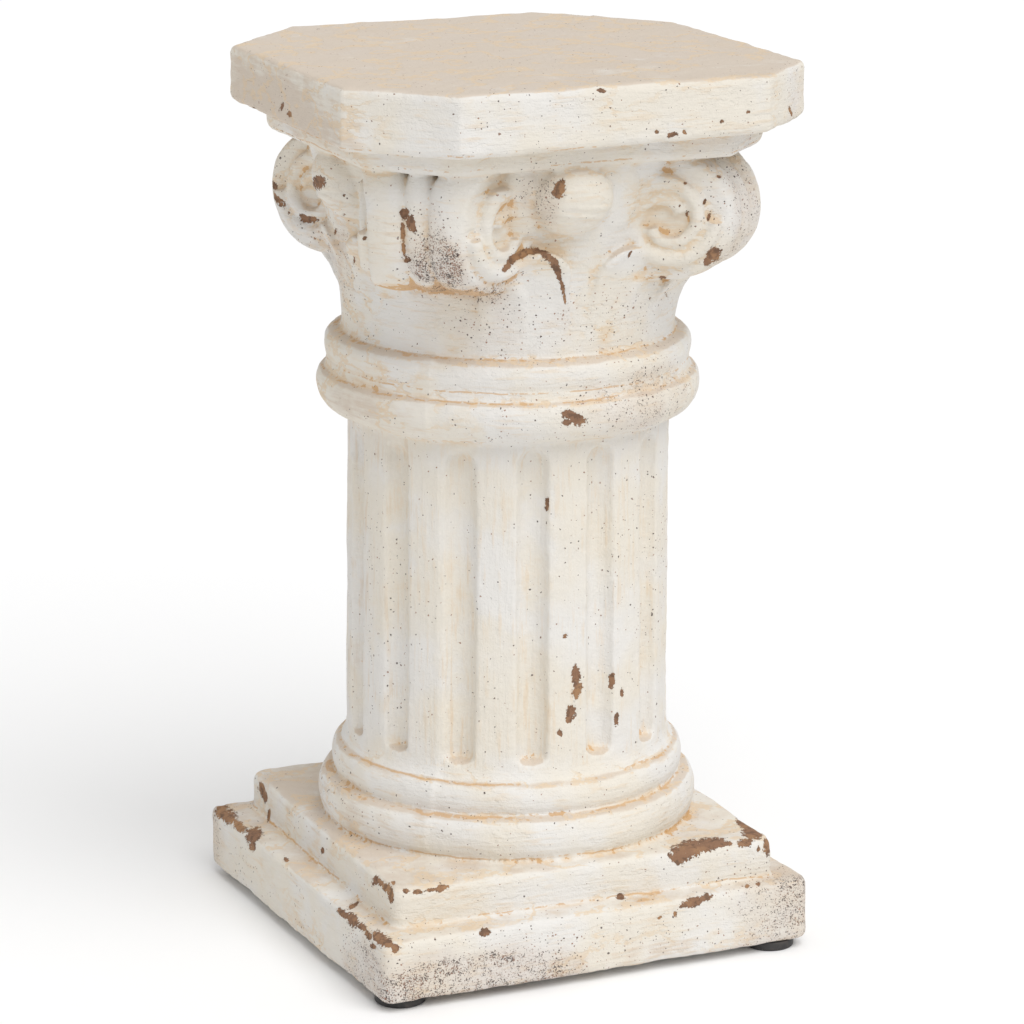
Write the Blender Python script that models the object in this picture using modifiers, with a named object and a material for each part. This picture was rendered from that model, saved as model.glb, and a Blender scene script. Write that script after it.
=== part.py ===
"""A small column pedestal, cast in one piece and standing on four rubber feet.

Metres, +Z up. The origin is the middle of the footprint on the floor. The flat sides of the
plinth face X and Y, and the scrolls of the capital stand on the diagonals.
"""
import math

import bmesh
import bpy
from mathutils import Matrix, Vector

# Rubber feet
FOOT_DIAMETER = 0.0270
FOOT_HEIGHT = 0.0047
FOOT_EDGE = 0.0008
FOOT_INSET = 0.0175
CLEARANCE = 0.0003

# Square plinths
LOWER_PLINTH_WIDTH = 0.2520
LOWER_PLINTH_HEIGHT = 0.0346
UPPER_PLINTH_WIDTH = 0.2215
UPPER_PLINTH_HEIGHT = 0.0219
PLINTH_CORNER = 0.0050
PLINTH_EDGE = 0.0032

# Round base mouldings
LARGE_TORUS_RADIUS = 0.1040
LARGE_TORUS_HEIGHT = 0.0233
LARGE_TORUS_NECK = 0.0982
SMALL_TORUS_RADIUS = 0.0965
SMALL_TORUS_HEIGHT = 0.0170
SMALL_TORUS_NECK = 0.0920

# Fluted shaft
SHAFT_FOOT_RADIUS = 0.0882
SHAFT_HEAD_RADIUS = 0.0868
SHAFT_HEIGHT = 0.1862
SHAFT_FLARE = 0.0030
SHAFT_FLARE_HEIGHT = 0.0065
SHAFT_FLARE_HOLLOW = 0.4
FLUTE_COUNT = 14
FLUTE_WIDTH = 0.0168
FLUTE_DEPTH = 0.0046
FLUTE_FOOT_MARGIN = 0.0127
FLUTE_HEAD_MARGIN = 0.0053
FLUTE_TURN = math.radians(-1.9)

# Rings between shaft and capital
LOWER_RING_RADIUS = 0.1034
LOWER_RING_HEIGHT = 0.0222
LOWER_RING_FOOT = 0.0905
LOWER_RING_NECK = 0.1005
LOWER_RING_CROWN = 0.0150
FILLET_RADIUS = 0.0978
FILLET_HEIGHT = 0.0068
UPPER_RING_RADIUS = 0.0986
UPPER_RING_HEIGHT = 0.0148
UPPER_RING_FOOT = 0.0965
UPPER_RING_NECK = 0.0915
UPPER_RING_CROWN = 0.0080

# Bell of the capital
BELL_FOOT_RADIUS = 0.0893
BELL_HEAD_RADIUS = 0.1080
BELL_HEIGHT = 0.1034
BELL_CURVE = 0.72

# Moulding and slab on top, square with cut corners
SLAB_WIDTH = 0.2605
SLAB_HEIGHT = 0.0308
SLAB_CORNER_CUT = 0.0450
SLAB_EDGE = 0.0030
MOULDING_INSET = 0.0135
MOULDING_HEIGHT = 0.0147
MOULDING_ROUND = 0.0055

# Corner scrolls
SCROLL_DIAMETER = 0.0670
SCROLL_REACH = 0.1350
SCROLL_BAND = 0.0500
SCROLL_TAPER = math.radians(17)
SCROLL_CHANNEL = 0.0024
# From a scroll's edge to its middle: share of the half width, and share of the channel's depth
SCROLL_PROFILE = ((1.0, 1.0), (0.84, 0.16), (0.58, 0.0), (0.3, 1.0), (0.0, 0.16))
SPIRAL_RIDGE = 0.0085
SPIRAL_RELIEF = 0.0030
SPIRAL_PITCH = 0.0185
SPIRAL_EYE = 0.0045

# Bud and petals near the middle of each side
BUD_TURN = math.radians(-5.0)
BUD_WIDTH = 0.0440
BUD_HEIGHT = 0.0390
BUD_RELIEF = 0.0150
BUD_DROP = 0.0010
PETAL_WIDTH = 0.0280
PETAL_HEIGHT = 0.0430
PETAL_RELIEF = 0.0060
PETAL_ANGLE = math.radians(15.5)

# Leaf lobes round the bell: angle from the middle of a side, width, height, relief and curl
LEAF_TURN = math.radians(-1.0)
MIDDLE_LOBE = (math.radians(13.5), 0.0325, 0.0600, 0.0040, 0.0030)
OUTER_LOBE = (math.radians(26.5), 0.0250, 0.0440, 0.0030, 0.0030)
CORNER_LOBE = (math.radians(45.0), 0.0460, 0.0440, 0.0035, 0.0160)
LOBE_ROOT = 0.0037

# Fineness of the round shapes
TURN_STEPS = 42
BULGE_STEPS = 4
BELL_STEPS = 5
FLUTE_SIDES = 10
FLUTE_RINGS = 7
SCROLL_STEPS = 18
SPIRAL_POINTS = 11
FOOT_SIDES = 20
SWELLING_SIDES = 10
SWELLING_RINGS = 6
LOBE_RINGS = 7

# How far one form runs into the next before they are fused
SINK = 0.0020
SIDES = 4

# Heights of each course above the floor
BODY_BOTTOM = FOOT_HEIGHT + CLEARANCE
UPPER_PLINTH_BOTTOM = BODY_BOTTOM + LOWER_PLINTH_HEIGHT
LARGE_TORUS_BOTTOM = UPPER_PLINTH_BOTTOM + UPPER_PLINTH_HEIGHT
SMALL_TORUS_BOTTOM = LARGE_TORUS_BOTTOM + LARGE_TORUS_HEIGHT
SHAFT_BOTTOM = SMALL_TORUS_BOTTOM + SMALL_TORUS_HEIGHT
LOWER_RING_BOTTOM = SHAFT_BOTTOM + SHAFT_HEIGHT
FILLET_BOTTOM = LOWER_RING_BOTTOM + LOWER_RING_HEIGHT
UPPER_RING_BOTTOM = FILLET_BOTTOM + FILLET_HEIGHT
BELL_BOTTOM = UPPER_RING_BOTTOM + UPPER_RING_HEIGHT
MOULDING_BOTTOM = BELL_BOTTOM + BELL_HEIGHT
SLAB_BOTTOM = MOULDING_BOTTOM + MOULDING_HEIGHT


def material(name, color, roughness):
    made = bpy.data.materials.new(name)
    made.use_nodes = True
    shader = made.node_tree.nodes["Principled BSDF"]
    shader.inputs["Base Color"].default_value = (*color, 1.0)
    shader.inputs["Roughness"].default_value = roughness
    shader.inputs["Metallic"].default_value = 0.0
    return made


def add_object(name, shape, collection):
    """Turns a bmesh into an object of its own."""
    mesh = bpy.data.meshes.new(name)
    shape.to_mesh(mesh)
    shape.free()
    made = bpy.data.objects.new(name, mesh)
    collection.objects.link(made)
    return made


def apply_modifiers(thing):
    """Bakes an object's modifiers into its mesh."""
    graph = bpy.context.evaluated_depsgraph_get()
    graph.update()
    mesh = bpy.data.meshes.new_from_object(thing.evaluated_get(graph))
    thing.modifiers.clear()
    thing.data = mesh


def add_boolean(body, operation, tools):
    """Joins everything in a collection to the body, or cuts it out, in one exact step."""
    boolean = body.modifiers.new(operation.title(), "BOOLEAN")
    boolean.operation = operation
    boolean.solver = "EXACT"
    boolean.operand_type = "COLLECTION"
    boolean.collection = tools
    for tool in tools.objects:
        tool.hide_render = True
        tool.display_type = "WIRE"


def turned(name, profile, steps, collection):
    """A solid turned about Z from (radius, height) points that run from top to bottom."""
    shape = bmesh.new()
    points = [shape.verts.new((radius, 0.0, height)) for radius, height in profile]
    for upper, lower in zip(points, points[1:]):
        shape.edges.new((upper, lower))
    thing = add_object(name, shape, collection)
    screw = thing.modifiers.new("Turn", "SCREW")
    screw.steps = steps
    screw.render_steps = steps
    screw.use_merge_vertices = True
    screw.merge_threshold = 0.00001
    apply_modifiers(thing)
    return thing


def bulge(radius, neck, foot, bottom, crown, height):
    """Points down a rounded moulding, from its neck, over its crown, to its foot."""
    points = []
    for step in range(BULGE_STEPS + 1):
        turn = math.pi * step / BULGE_STEPS
        rise = height - crown if turn < math.pi / 2 else crown
        end = neck if turn < math.pi / 2 else foot
        points.append((end + (radius - end) * math.sin(turn),
                       bottom + crown + rise * math.cos(turn)))
    return points


def is_upright(edge):
    start, end = (vert.co for vert in edge.verts)
    return math.hypot(start.x - end.x, start.y - end.y) < abs(start.z - end.z)


def square_course(name, width, bottom, height, corner, corner_segments, rims, collection):
    """One square course. Its rims are pairs of a level to round and the radius there."""
    shape = bmesh.new()
    bmesh.ops.create_cube(shape, size=1.0)
    bmesh.ops.scale(shape, verts=shape.verts, vec=(width, width, height))
    bmesh.ops.translate(shape, verts=shape.verts, vec=(0.0, 0.0, bottom + height / 2))
    upright = [edge for edge in shape.edges if is_upright(edge)]
    bmesh.ops.bevel(shape, geom=upright, offset=corner, segments=corner_segments,
                    profile=0.5, affect="EDGES")
    for level, radius in rims:
        rim = [edge for edge in shape.edges
               if all(abs(vert.co.z - level) < radius / 100 for vert in edge.verts)]
        bmesh.ops.bevel(shape, geom=rim, offset=radius, segments=2, profile=0.5, affect="EDGES")
    return add_object(name, shape, collection)


def bell_radius(height):
    """The bell's outline, which flares towards the slab."""
    up = min(max((height - BELL_BOTTOM) / BELL_HEIGHT, 0.0), 1.0)
    flare = up + BELL_CURVE * (up ** 2 - up)
    return BELL_FOOT_RADIUS + (BELL_HEAD_RADIUS - BELL_FOOT_RADIUS) * flare


def shaft_radius(height):
    up = (height - SHAFT_BOTTOM) / SHAFT_HEIGHT
    return SHAFT_FOOT_RADIUS + (SHAFT_HEAD_RADIUS - SHAFT_FOOT_RADIUS) * up


def column_profile():
    """The turned outline, from inside the moulding down into the plinth."""
    top = MOULDING_BOTTOM + SINK
    profile = [(0.0, top), (BELL_HEAD_RADIUS, top)]
    for step in range(BELL_STEPS + 1):
        height = MOULDING_BOTTOM - BELL_HEIGHT * step / BELL_STEPS
        profile.append((bell_radius(height), height))
    profile += bulge(UPPER_RING_RADIUS, UPPER_RING_NECK, UPPER_RING_FOOT, UPPER_RING_BOTTOM,
                     UPPER_RING_CROWN, UPPER_RING_HEIGHT)
    profile.append((FILLET_RADIUS, FILLET_BOTTOM + FILLET_HEIGHT))
    profile.append((FILLET_RADIUS, FILLET_BOTTOM))
    profile += bulge(LOWER_RING_RADIUS, LOWER_RING_NECK, LOWER_RING_FOOT, LOWER_RING_BOTTOM,
                     LOWER_RING_CROWN, LOWER_RING_HEIGHT)
    profile.append((SHAFT_HEAD_RADIUS, LOWER_RING_BOTTOM))
    for share in (1.0, SHAFT_FLARE_HOLLOW, 0.0):
        height = SHAFT_BOTTOM + SHAFT_FLARE_HEIGHT * share
        profile.append((shaft_radius(height) + SHAFT_FLARE * (1.0 - share) ** 2, height))
    profile += bulge(SMALL_TORUS_RADIUS, SMALL_TORUS_NECK, SMALL_TORUS_NECK, SMALL_TORUS_BOTTOM,
                     SMALL_TORUS_HEIGHT / 2, SMALL_TORUS_HEIGHT)
    profile += bulge(LARGE_TORUS_RADIUS, LARGE_TORUS_NECK, LARGE_TORUS_NECK, LARGE_TORUS_BOTTOM,
                     LARGE_TORUS_HEIGHT / 2, LARGE_TORUS_HEIGHT)
    bottom = LARGE_TORUS_BOTTOM - SINK
    profile.append((LARGE_TORUS_NECK, bottom))
    profile.append((0.0, bottom))
    return profile


def flute_cutters(collection):
    """Round-ended rods in a ring, which scoop the flutes out of the shaft."""
    half = FLUTE_WIDTH / 2
    radius = (half ** 2 + FLUTE_DEPTH ** 2) / (2 * FLUTE_DEPTH)
    low_end = SHAFT_BOTTOM + FLUTE_FOOT_MARGIN + half
    high_end = LOWER_RING_BOTTOM - FLUTE_HEAD_MARGIN - half
    ring = bmesh.new()
    for index in range(FLUTE_COUNT):
        rod = bmesh.ops.create_uvsphere(ring, u_segments=FLUTE_SIDES, v_segments=FLUTE_RINGS,
                                        radius=radius)["verts"]
        for vert in rod:
            vert.co.z += high_end if vert.co.z > 0 else low_end
            vert.co.y -= shaft_radius(vert.co.z) + radius - FLUTE_DEPTH
        turn = FLUTE_TURN + (index + 0.5) * math.tau / FLUTE_COUNT
        bmesh.ops.rotate(ring, verts=rod, matrix=Matrix.Rotation(turn, 3, "Z"))
    return add_object("flutes", ring, collection)


def add_swelling(shape, rings, angle, width, bottom, middles, top, relief, curl=0.0):
    """A rounded lump on the bell. Its two middles are where its top and bottom ends round off."""
    lump = bmesh.ops.create_uvsphere(shape, u_segments=SWELLING_SIDES, v_segments=rings,
                                     radius=1.0)["verts"]
    low_middle, high_middle = middles
    for vert in lump:
        across, out, up = vert.co
        if up > 0:
            height = high_middle + up * (top - high_middle)
        else:
            height = low_middle + up * (low_middle - bottom)
        radius = bell_radius(height) - SINK - out * (SINK + relief) + curl * max(up, 0.0) ** 2
        turn = angle + across * width / 2 / bell_radius(height)
        vert.co = (radius * math.sin(turn), -radius * math.cos(turn), height)


def add_lobe(shape, angle, width, height, relief, curl):
    """A leaf lobe: straight sides that rise out of the ring, and a round tip that curls out."""
    top = BELL_BOTTOM + height
    foot = BELL_BOTTOM - LOBE_ROOT
    middles = (foot, top - width / 2)
    add_swelling(shape, LOBE_RINGS, angle, width, foot - SINK, middles, top, relief, curl)


def bell_carving(collection):
    """The leaf lobes, the petals and the bud of one side and corner, one object for each layer."""
    corner = bmesh.new()
    add_lobe(corner, *CORNER_LOBE)
    layers = [corner]
    for angle, *sizes in (OUTER_LOBE, MIDDLE_LOBE):
        layer = bmesh.new()
        for side in (-1, 1):
            add_lobe(layer, LEAF_TURN + side * angle, *sizes)
        layers.append(layer)
    bud_top = MOULDING_BOTTOM + BUD_DROP
    middle = bud_top - BUD_HEIGHT / 2
    middles = (middle, middle)
    petals = bmesh.new()
    for side in (-1, 1):
        add_swelling(petals, SWELLING_RINGS, BUD_TURN + side * PETAL_ANGLE, PETAL_WIDTH,
                     middle - PETAL_HEIGHT / 2, middles, middle + PETAL_HEIGHT / 2, PETAL_RELIEF)
    bud = bmesh.new()
    add_swelling(bud, SWELLING_RINGS, BUD_TURN, BUD_WIDTH, bud_top - BUD_HEIGHT, middles,
                 bud_top, BUD_RELIEF)
    layers += [petals, bud]
    return [add_object("carving", layer, collection) for layer in layers]


def scroll_half_width(along):
    """Half of the scroll's width, which grows from its outer band towards the column."""
    return SCROLL_BAND / 2 + math.tan(SCROLL_TAPER) * (SCROLL_REACH - along)


def scroll_drum(collection):
    """A scroll's rolled body, on the +X axis, with two channels round its band."""
    radius = SCROLL_DIAMETER / 2
    half = [(radius - SCROLL_CHANNEL * depth, share) for share, depth in SCROLL_PROFILE]
    other_half = [(size, -share) for size, share in reversed(half[:-1])]
    profile = [(0.0, 1.0), *half, *other_half, (0.0, -1.0)]
    drum = turned("drums", profile, SCROLL_STEPS, collection)
    centre = Vector((SCROLL_REACH - radius, 0.0, MOULDING_BOTTOM - radius + SINK / 2))
    for vert in drum.data.vertices:
        along = centre.x + vert.co.x
        vert.co = (along, vert.co.z * scroll_half_width(along), centre.z - vert.co.y)
    return drum, centre


def spiral_ridge(centre, side, start_turn, collection):
    """A ridge that winds in towards the eye on one side face of a scroll."""
    outer = SCROLL_DIAMETER / 2 - SPIRAL_RIDGE / 2
    sweep = (outer - SPIRAL_EYE) / SPIRAL_PITCH * math.tau
    curve = bpy.data.curves.new("spiral", "CURVE")
    curve.dimensions = "3D"
    curve.bevel_depth = SPIRAL_RIDGE / 2
    curve.bevel_resolution = 0
    curve.use_fill_caps = True
    line = curve.splines.new("POLY")
    line.points.add(SPIRAL_POINTS - 1)
    for index, point in enumerate(line.points):
        share = index / (SPIRAL_POINTS - 1)
        turn = start_turn + share * sweep
        reach = outer + (SPIRAL_EYE - outer) * share
        along = centre.x + reach * math.cos(turn)
        depth = scroll_half_width(along) - SPIRAL_RIDGE / 2 + SPIRAL_RELIEF
        point.co = (along, side * depth, centre.z - reach * math.sin(turn), 1.0)
    guide = bpy.data.objects.new("spiral", curve)
    collection.objects.link(guide)
    graph = bpy.context.evaluated_depsgraph_get()
    graph.update()
    shape = bmesh.new()
    shape.from_mesh(guide.evaluated_get(graph).to_mesh())
    bmesh.ops.remove_doubles(shape, verts=shape.verts, dist=0.00001)
    bpy.data.objects.remove(guide)
    return add_object("spiral", shape, collection)


def add_around(thing, first_turn, collection):
    """Four turned copies of a shape about Z, in one object, in place of the shape."""
    around = bmesh.new()
    for index in range(SIDES):
        known = len(around.verts)
        around.from_mesh(thing.data)
        around.verts.ensure_lookup_table()
        turn = first_turn + index * math.tau / SIDES
        bmesh.ops.rotate(around, verts=around.verts[known:], matrix=Matrix.Rotation(turn, 3, "Z"))
    name = thing.name
    bpy.data.objects.remove(thing)
    add_object(name, around, collection)


def add_scrolls(collection):
    """The four corner scrolls, each with two spiral ridges on both of its side faces."""
    drum, centre = scroll_drum(collection)
    add_around(drum, math.pi / SIDES, collection)
    for side in (-1, 1):
        for start_turn in (0.0, math.pi):
            ridge = spiral_ridge(centre, side, start_turn, collection)
            add_around(ridge, math.pi / SIDES, collection)


def add_plinths(collection):
    upper_top = UPPER_PLINTH_BOTTOM + UPPER_PLINTH_HEIGHT
    square_course("upper plinth", UPPER_PLINTH_WIDTH, UPPER_PLINTH_BOTTOM - SINK,
                  UPPER_PLINTH_HEIGHT + SINK, PLINTH_CORNER, 2, [(upper_top, PLINTH_EDGE)],
                  collection)
    lower_top = BODY_BOTTOM + LOWER_PLINTH_HEIGHT
    square_course("lower plinth", LOWER_PLINTH_WIDTH, BODY_BOTTOM, LOWER_PLINTH_HEIGHT,
                  PLINTH_CORNER, 2, [(BODY_BOTTOM, PLINTH_EDGE), (lower_top, PLINTH_EDGE)],
                  collection)


def add_slab(collection):
    """The moulding under the slab follows the slab's cut corners at an even distance."""
    moulding_width = SLAB_WIDTH - 2 * MOULDING_INSET
    moulding_cut = SLAB_CORNER_CUT - MOULDING_INSET * (2.0 - math.sqrt(2.0))
    square_course("moulding", moulding_width, MOULDING_BOTTOM, MOULDING_HEIGHT + SINK,
                  moulding_cut, 1, [(MOULDING_BOTTOM, MOULDING_ROUND)], collection)
    slab_top = SLAB_BOTTOM + SLAB_HEIGHT
    square_course("slab", SLAB_WIDTH, SLAB_BOTTOM, SLAB_HEIGHT, SLAB_CORNER_CUT, 1,
                  [(SLAB_BOTTOM, SLAB_EDGE), (slab_top, SLAB_EDGE)], collection)


def cast_body(parts, forms, cutters, finish):
    """The column, from plinth to slab, as the one piece that it is cast in."""
    body = turned("pedestal_body", column_profile(), TURN_STEPS, parts)
    add_plinths(forms)
    add_scrolls(forms)
    for carving in bell_carving(forms):
        add_around(carving, 0.0, forms)
    add_slab(forms)
    flute_cutters(cutters)
    add_boolean(body, "UNION", forms)
    add_boolean(body, "DIFFERENCE", cutters)
    body.data.materials.append(finish)


def rubber_foot(name, x, y, parts, finish):
    """A plain round rubber pad with a softened edge, under one corner of the plinth."""
    shape = bmesh.new()
    radius = FOOT_DIAMETER / 2
    bmesh.ops.create_cone(shape, cap_ends=True, segments=FOOT_SIDES, radius1=radius, radius2=radius,
                          depth=FOOT_HEIGHT)
    foot = add_object(name, shape, parts)
    foot.location = (x, y, FOOT_HEIGHT / 2)
    edge = foot.modifiers.new("Edge", "BEVEL")
    edge.width = FOOT_EDGE
    edge.segments = 1
    edge.limit_method = "ANGLE"
    foot.data.materials.append(finish)


def main():
    for thing in list(bpy.data.objects):
        bpy.data.objects.remove(thing)
    parts = bpy.data.collections.new("Column pedestal")
    forms = bpy.data.collections.new("Forms to join")
    cutters = bpy.data.collections.new("Cutters")
    for collection in (parts, forms, cutters):
        bpy.context.scene.collection.children.link(collection)

    cast_clay = material("painted_cast_clay", (0.80, 0.75, 0.66), 0.85)
    rubber = material("black_rubber", (0.03, 0.028, 0.028), 0.7)
    cast_body(parts, forms, cutters, cast_clay)
    across = LOWER_PLINTH_WIDTH / 2 - FOOT_INSET
    for depth_name, y in (("front", -across), ("back", across)):
        for side_name, x in (("left", -across), ("right", across)):
            rubber_foot(f"foot_{depth_name}_{side_name}", x, y, parts, rubber)


main()
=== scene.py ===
import math
import random

import bmesh
import bpy
import numpy as np
from mathutils import Matrix, Vector, noise


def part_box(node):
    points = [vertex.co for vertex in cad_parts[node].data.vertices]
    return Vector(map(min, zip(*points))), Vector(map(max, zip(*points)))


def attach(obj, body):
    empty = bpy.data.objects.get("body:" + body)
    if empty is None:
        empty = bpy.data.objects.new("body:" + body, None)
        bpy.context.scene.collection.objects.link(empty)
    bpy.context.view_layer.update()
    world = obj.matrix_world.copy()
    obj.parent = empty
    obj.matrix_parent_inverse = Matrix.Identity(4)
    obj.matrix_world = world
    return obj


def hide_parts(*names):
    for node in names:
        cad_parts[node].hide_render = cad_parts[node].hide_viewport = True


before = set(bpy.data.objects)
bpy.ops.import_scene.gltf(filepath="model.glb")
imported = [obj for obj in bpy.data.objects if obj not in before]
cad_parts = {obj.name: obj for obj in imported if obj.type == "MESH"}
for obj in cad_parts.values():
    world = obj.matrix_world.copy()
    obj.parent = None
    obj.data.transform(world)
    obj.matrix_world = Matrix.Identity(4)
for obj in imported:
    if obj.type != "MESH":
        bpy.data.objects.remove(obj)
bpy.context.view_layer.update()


# The viewpoint of the photograph
# A long lens some way off, left of the front and above, with hardly any roll. Its place was
# fitted to the edges of the slab, the plinths and the rings.
CAMERA_TURN = math.radians(-23.908)
CAMERA_LIFT = math.radians(14.587)
CAMERA_ROLL = math.radians(0.255)
CAMERA_DISTANCE = 2.3332
CAMERA_LENS = 150.82
AIM_HEIGHT = 0.2276
AIM_SHIFT = 0.0024
FILM_WIDTH = 36.0

back = Vector((math.sin(CAMERA_TURN) * math.cos(CAMERA_LIFT),
               -math.cos(CAMERA_TURN) * math.cos(CAMERA_LIFT), math.sin(CAMERA_LIFT)))
level = Vector((math.cos(CAMERA_TURN), math.sin(CAMERA_TURN), 0.0))
upward = back.cross(level)
right = level * math.cos(CAMERA_ROLL) + upward * math.sin(CAMERA_ROLL)
upright = upward * math.cos(CAMERA_ROLL) - level * math.sin(CAMERA_ROLL)
eye = Vector((0.0, 0.0, AIM_HEIGHT)) + level * AIM_SHIFT + back * CAMERA_DISTANCE
bpy.ops.object.camera_add()
camera = bpy.context.object
camera.name = "camera"
camera.data.lens = CAMERA_LENS
camera.data.sensor_width = FILM_WIDTH
camera.matrix_world = Matrix.Translation(eye) @ Matrix((right, upright, back)).transposed().to_4x4()
bpy.context.scene.camera = camera


# Lower plinth
# The broad square foot of the casting, a little askew under the column. Its corners and edges
# are rubbed round. SINK is how far one form runs into the next, and CLOSE_BY and LEVEL_WITH
# are how near two places or levels are when they count as the same.
LOWER_PLINTH = {"width": 0.2520, "bottom": 0.0050, "height": 0.0346,
                "centre": (-0.0014, 0.0006), "turn": math.radians(1.1)}
LOWER_CUTS = (0.0065, 0.0085, 0.0050, 0.0060)
LOWER_FOOT_RIM = 0.0028
LOWER_TOP_RIM = 0.0038
CUT_STEPS = 5
RIM_STEPS = 3
SINK = 0.0020
CORNERS = ((-1, -1), (1, -1), (-1, 1), (1, 1))
CLOSE_BY = 0.0005
LEVEL_WITH = 0.0001


def add(primitive, name, **settings):
    """Adds a primitive by itself, with its place, turn and size kept in its mesh."""
    bpy.ops.object.select_all(action="DESELECT")
    primitive(**settings)
    piece = bpy.context.object
    piece.name = name
    bpy.ops.object.transform_apply(location=True, rotation=True, scale=True)
    return piece


def select(piece, kind, wanted):
    """Goes to edit mode with only the wanted vertices, edges or faces selected."""
    bpy.ops.object.mode_set(mode="EDIT")
    bpy.ops.mesh.select_mode(type=kind)
    bpy.ops.mesh.select_all(action="DESELECT")
    shape = bmesh.from_edit_mesh(piece.data)
    for element in {"VERT": shape.verts, "EDGE": shape.edges, "FACE": shape.faces}[kind]:
        if wanted(element):
            element.select = True
    shape.select_flush_mode()
    bmesh.update_edit_mesh(piece.data)


def bevel_edges(piece, wanted, size, steps):
    """Bevels the edges whose two ends pass a test."""
    select(piece, "EDGE", lambda edge: all(wanted(vert.co) for vert in edge.verts))
    bpy.ops.mesh.bevel(offset=size, segments=steps, affect="EDGES")
    bpy.ops.object.mode_set(mode="OBJECT")


def square_course(name, width, bottom, height, cuts, steps, rims, centre=(0.0, 0.0), turn=0.0):
    """A square course: each upright corner is cut back by its own amount, then the rims eased."""
    piece = add(bpy.ops.mesh.primitive_cube_add, name, size=1.0,
                location=(*centre, bottom + height / 2), scale=(width, width, height))
    for (side_x, side_y), cut in zip(CORNERS, cuts):
        corner = Vector((centre[0] + side_x * width / 2, centre[1] + side_y * width / 2))
        bevel_edges(piece, lambda place: (place.xy - corner).length < CLOSE_BY, cut, steps)
    for rim_level, radius in rims:
        bevel_edges(piece, lambda place: abs(place.z - rim_level) < LEVEL_WITH, radius,
                    RIM_STEPS)
    piece.data.transform(Matrix.Rotation(turn, 4, "Z"))
    return piece


lower_top = LOWER_PLINTH["bottom"] + LOWER_PLINTH["height"]
forms = [square_course("lower plinth", cuts=LOWER_CUTS, steps=CUT_STEPS,
                       rims=((LOWER_PLINTH["bottom"], LOWER_FOOT_RIM), (lower_top, LOWER_TOP_RIM)),
                       **LOWER_PLINTH)]


# Upper plinth
# The second square step, cast with the first, with the same rubbed edges. It is turned a
# little the other way.
UPPER_PLINTH = {"width": 0.2215, "bottom": 0.0376, "height": 0.0239,
                "turn": math.radians(-0.8)}
UPPER_CUTS = (0.0070, 0.0060, 0.0055, 0.0060)
UPPER_TOP_RIM = 0.0042

upper_top = UPPER_PLINTH["bottom"] + UPPER_PLINTH["height"]
forms.append(square_course("upper plinth", cuts=UPPER_CUTS, steps=CUT_STEPS,
                           rims=((upper_top, UPPER_TOP_RIM),), **UPPER_PLINTH))


# Round base mouldings
# Two plump rings that carry the shaft, turned in the pattern that the mould was made from.
LARGE_TORUS = {"foot": 0.0982, "radius": 0.1040, "neck": 0.0982,
               "bottom": 0.0615, "crown": 0.0731, "top": 0.0848}
SMALL_TORUS = {"foot": 0.0920, "radius": 0.0965, "neck": 0.0920,
               "bottom": 0.0848, "crown": 0.0933, "top": 0.1018}
TURN_STEPS = 192


def turned(name, profile, steps=TURN_STEPS):
    """A turned form: a disc pushed up and resized through (radius, height) points."""
    (radius, height), *others = profile
    piece = add(bpy.ops.mesh.primitive_circle_add, name, vertices=steps, radius=radius,
                fill_type="NGON", location=(0.0, 0.0, height))
    bpy.ops.object.mode_set(mode="EDIT")
    bpy.ops.mesh.select_all(action="SELECT")
    for next_radius, next_height in others:
        rise = {"value": (0.0, 0.0, next_height - height)}
        bpy.ops.mesh.extrude_region_move(TRANSFORM_OT_translate=rise)
        share = next_radius / radius
        bpy.ops.transform.resize(value=(share, share, 1.0))
        radius, height = next_radius, next_height
    bpy.ops.object.mode_set(mode="OBJECT")
    return piece


def bulge(foot, radius, neck, bottom, crown, top, steps=12):
    """Points up a rounded ring, from its foot, over its crown, to its neck."""
    points = []
    for step in range(steps + 1):
        turn = math.pi * step / steps
        end, level = (foot, bottom) if turn < math.pi / 2 else (neck, top)
        points.append((end + (radius - end) * math.sin(turn),
                       crown - abs(math.cos(turn)) * (crown - level)))
    return points


forms.append(turned("base mouldings",
                    [(LARGE_TORUS["foot"], LARGE_TORUS["bottom"] - SINK)]
                    + bulge(**LARGE_TORUS) + bulge(**SMALL_TORUS)))


# Fluted shaft
# A slightly tapering drum that flares at its foot. The flutes are shallow scoops with round
# tops and squarer bottoms, cut by hand into the pattern, so that no two are quite alike.
SHAFT_FOOT_RADIUS = 0.0882
SHAFT_HEAD_RADIUS = 0.0868
SHAFT_BOTTOM = 0.1018
SHAFT_TOP = 0.2880
SHAFT_FLARE = 0.0034
SHAFT_FLARE_HEIGHT = 0.0090
FLUTE_COUNT = 14
FLUTE_TURN = math.radians(-1.9)
FLUTE_WIDTH = 0.0178
FLUTE_DEPTH = 0.0079
FLUTE_BOTTOM = 0.1145
FLUTE_TOP = 0.2827
FLUTE_END_SQUARENESS = 0.45
FLUTE_WIDTHS = (0.95, 1.05)
FLUTE_DEPTHS = (0.88, 1.08)
FLUTE_END_SLACK = 0.001
FLUTE_TURN_SLACK = 0.006

hand = random.Random(14)


def shaft_radius(height):
    """The plain drum's radius, without its flare."""
    up = (height - SHAFT_BOTTOM) / (SHAFT_TOP - SHAFT_BOTTOM)
    return SHAFT_FOOT_RADIUS + (SHAFT_HEAD_RADIUS - SHAFT_FOOT_RADIUS) * up


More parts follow.
